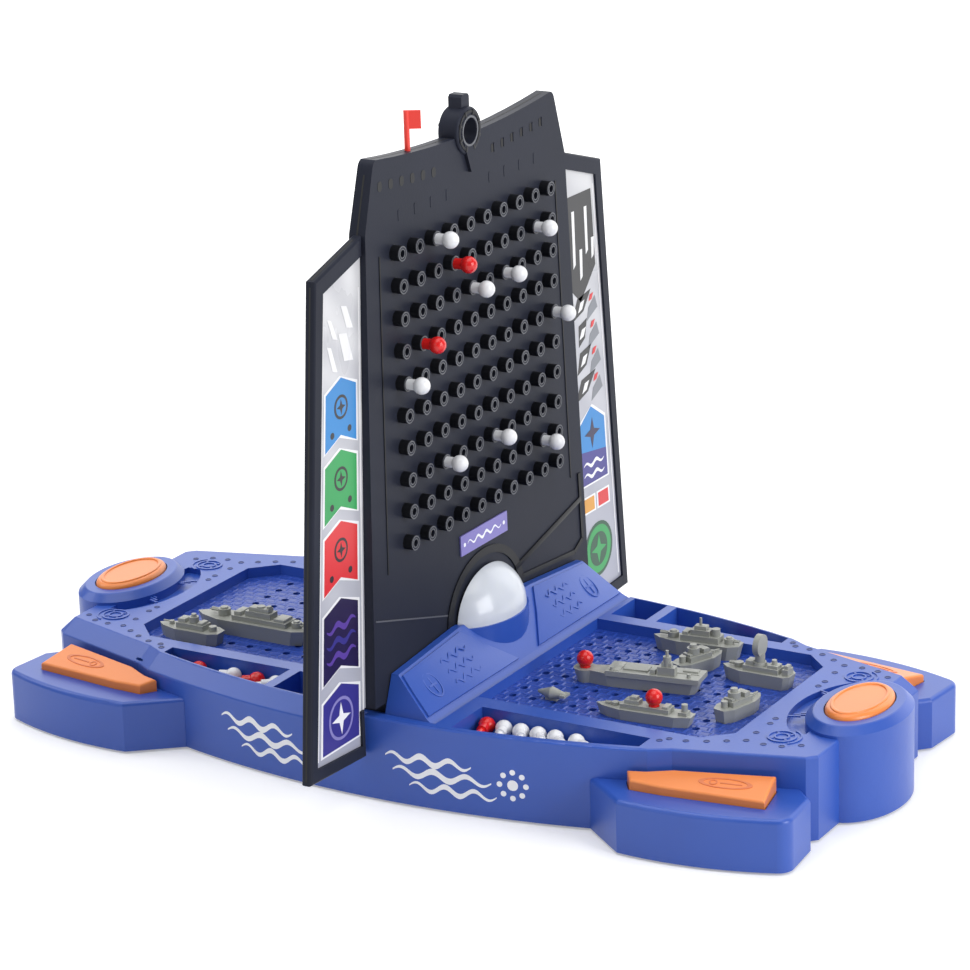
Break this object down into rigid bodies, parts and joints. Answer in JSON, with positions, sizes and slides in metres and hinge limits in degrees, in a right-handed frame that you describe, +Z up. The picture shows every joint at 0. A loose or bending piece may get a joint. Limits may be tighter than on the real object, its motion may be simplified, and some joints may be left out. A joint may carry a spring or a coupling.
{
  "type": "fleet guessing case",
  "caption": "Two-player fleet guessing game: long blue base with sea trays, press buttons and peg troughs, an upright charcoal peg screen across its middle, and loose ships and pegs.",
  "frame": {"origin": "on the table, under the middle of the screen", "axes": "+X towards one player, -X towards the other; +Y along the screen; +Z up"},
  "size_m": [0.371, 0.25, 0.2579],
  "materials": {
    "blue_plastic": "satin moulded",
    "sea_plastic": "satin moulded",
    "lens_plastic": "glossy, milky",
    "bulb_plastic": "clear red",
    "orange_plastic": "satin moulded",
    "charcoal_plastic": "satin moulded",
    "black_plastic": "satin moulded",
    "red_plastic": "glossy moulded",
    "white_plastic": "glossy moulded",
    "grey_plastic": "satin moulded",
    "switch_rubber": "soft",
    "foot_rubber": "soft",
    "screw_steel": "plated",
    "cell_jacket": "printed sleeve",
    "board_laminate": "solder mask",
    "wing_print": "printed, glossy",
    "plate_print": "printed, satin"
  },
  "bodies": {
    "base": {"base_shell": "blue_plastic", "base_floor": "blue_plastic", "ocean_floor_east": "sea_plastic", "ocean_floor_west": "sea_plastic", "screen_socket": "blue_plastic", "lamp_dome_east": "lens_plastic", "lamp_dome_west": "lens_plastic", "lamp_bulbs": "bulb_plastic", "circuit_board": "board_laminate", "speaker_frame": "screw_steel", "speaker_cone": "black_plastic", "battery_cells": "cell_jacket", "battery_contacts": "screw_steel", "battery_door": "blue_plastic", "battery_door_screw": "screw_steel", "rubber_feet": "foot_rubber", "base_screws": "screw_steel", "fire_switch_east": "switch_rubber", "fire_switch_west": "switch_rubber", "pad_switch_east_near": "switch_rubber", "pad_switch_east_far": "switch_rubber", "pad_switch_west_near": "switch_rubber", "pad_switch_west_far": "switch_rubber"},
    "power_slider": {"power_switch": "black_plastic"},
    "fire_east": {"fire_button_east": "orange_plastic"},
    "fire_west": {"fire_button_west": "orange_plastic"},
    "pad_east_near": {"pad_button_east_near": "orange_plastic"},
    "pad_east_far": {"pad_button_east_far": "orange_plastic"},
    "pad_west_near": {"pad_button_west_near": "orange_plastic"},
    "pad_west_far": {"pad_button_west_far": "orange_plastic"},
    "screen": {"screen_shell_east": "charcoal_plastic", "screen_shell_west": "charcoal_plastic", "screen_screws": "screw_steel", "wing_labels_east": "wing_print", "wing_labels_west": "wing_print", "name_plates": "plate_print"},
    "flag": {"signal_flag": "red_plastic"},
    "miss_pegs": {"screen_pegs_white": "white_plastic"},
    "hit_pegs": {"screen_pegs_red": "red_plastic"},
    "carrier": {"carrier_ship": "grey_plastic"},
    "carrier_hit": {"carrier_peg": "red_plastic"},
    "long_boat": {"long_ship": "grey_plastic"},
    "long_boat_hit": {"long_ship_peg": "red_plastic"},
    "radar_boat": {"radar_ship": "grey_plastic"},
    "cruiser": {"cruiser_ship": "grey_plastic"},
    "outer_boat": {"patrol_boat_outer": "grey_plastic"},
    "inner_boat": {"patrol_boat_inner": "grey_plastic"},
    "sub": {"midget_sub": "grey_plastic"},
    "west_large": {"west_large_ship": "grey_plastic"},
    "west_small": {"west_small_ship": "grey_plastic"},
    "handful_east_near": {"trough_pegs_east_near_white": "white_plastic", "trough_pegs_east_near_red": "red_plastic"},
    "handful_east_far": {"trough_pegs_east_far_white": "white_plastic", "trough_pegs_east_far_red": "red_plastic"},
    "handful_west_near": {"trough_pegs_west_near_white": "white_plastic", "trough_pegs_west_near_red": "red_plastic"}
  },
  "joints": [
    {"name": "power_throw", "type": "slide", "parent": "base", "child": "power_slider", "axis": [1, 0, 0], "range_m": [0, 0.0042]},
    {"name": "fire_press_east", "type": "slide", "parent": "base", "child": "fire_east", "axis": [0, 0, -1], "range_m": [0, 0.0025], "stiffness_N_per_m": 800, "springref_m": -0.0005, "deforming": ["fire_switch_east"]},
    {"name": "fire_press_west", "type": "slide", "parent": "base", "child": "fire_west", "axis": [0, 0, -1], "range_m": [0, 0.0025], "stiffness_N_per_m": 800, "springref_m": -0.0005, "deforming": ["fire_switch_west"]},
    {"name": "pad_press_east_near", "type": "slide", "parent": "base", "child": "pad_east_near", "axis": [0, 0, -1], "range_m": [0, 0.002], "stiffness_N_per_m": 800, "springref_m": -0.0005, "deforming": ["pad_switch_east_near"]},
    {"name": "pad_press_east_far", "type": "slide", "parent": "base", "child": "pad_east_far", "axis": [0, 0, -1], "range_m": [0, 0.002], "stiffness_N_per_m": 800, "springref_m": -0.0005, "deforming": ["pad_switch_east_far"]},
    {"name": "pad_press_west_near", "type": "slide", "parent": "base", "child": "pad_west_near", "axis": [0, 0, -1], "range_m": [0, 0.002], "stiffness_N_per_m": 800, "springref_m": -0.0005, "deforming": ["pad_switch_west_near"]},
    {"name": "pad_press_west_far", "type": "slide", "parent": "base", "child": "pad_west_far", "axis": [0, 0, -1], "range_m": [0, 0.002], "stiffness_N_per_m": 800, "springref_m": -0.0005, "deforming": ["pad_switch_west_far"]},
    {"name": "screen_lift", "type": "slide", "parent": "base", "child": "screen", "axis": [0, 0, 1], "range_m": [0, 0.06]},
    {"name": "flag_pull", "type": "slide", "parent": "screen", "child": "flag", "axis": [0, 0, 1], "range_m": [0, 0.02]},
    {"name": "miss_pegs_pull", "type": "slide", "parent": "screen", "child": "miss_pegs", "axis": [1, 0, 0], "range_m": [0, 0.012]},
    {"name": "hit_pegs_pull", "type": "slide", "parent": "screen", "child": "hit_pegs", "axis": [1, 0, 0], "range_m": [0, 0.012]},
    {"name": "carrier_lift", "type": "slide", "parent": "base", "child": "carrier", "axis": [0, 0, 1], "range_m": [0, 0.04]},
    {"name": "long_boat_lift", "type": "slide", "parent": "base", "child": "long_boat", "axis": [0, 0, 1], "range_m": [0, 0.04]},
    {"name": "radar_boat_lift", "type": "slide", "parent": "base", "child": "radar_boat", "axis": [0, 0, 1], "range_m": [0, 0.04]},
    {"name": "cruiser_lift", "type": "slide", "parent": "base", "child": "cruiser", "axis": [0, 0, 1], "range_m": [0, 0.04]},
    {"name": "outer_boat_lift", "type": "slide", "parent": "base", "child": "outer_boat", "axis": [0, 0, 1], "range_m": [0, 0.04]},
    {"name": "inner_boat_lift", "type": "slide", "parent": "base", "child": "inner_boat", "axis": [0, 0, 1], "range_m": [0, 0.04]},
    {"name": "sub_lift", "type": "slide", "parent": "base", "child": "sub", "axis": [0, 0, 1], "range_m": [0, 0.04]},
    {"name": "west_large_lift", "type": "slide", "parent": "base", "child": "west_large", "axis": [0, 0, 1], "range_m": [0, 0.04]},
    {"name": "west_small_lift", "type": "slide", "parent": "base", "child": "west_small", "axis": [0, 0, 1], "range_m": [0, 0.04]},
    {"name": "carrier_hit_pull", "type": "slide", "parent": "carrier", "child": "carrier_hit", "axis": [0, 0, 1], "range_m": [0, 0.02]},
    {"name": "long_boat_hit_pull", "type": "slide", "parent": "long_boat", "child": "long_boat_hit", "axis": [0, 0, 1], "range_m": [0, 0.02]},
    {"name": "handful_east_near_lift", "type": "slide", "parent": "base", "child": "handful_east_near", "axis": [0, 0, 1], "range_m": [0, 0.04]},
    {"name": "handful_east_far_lift", "type": "slide", "parent": "base", "child": "handful_east_far", "axis": [0, 0, 1], "range_m": [0, 0.04]},
    {"name": "handful_west_near_lift", "type": "slide", "parent": "base", "child": "handful_west_near", "axis": [0, 0, 1], "range_m": [0, 0.04]}
  ]
}
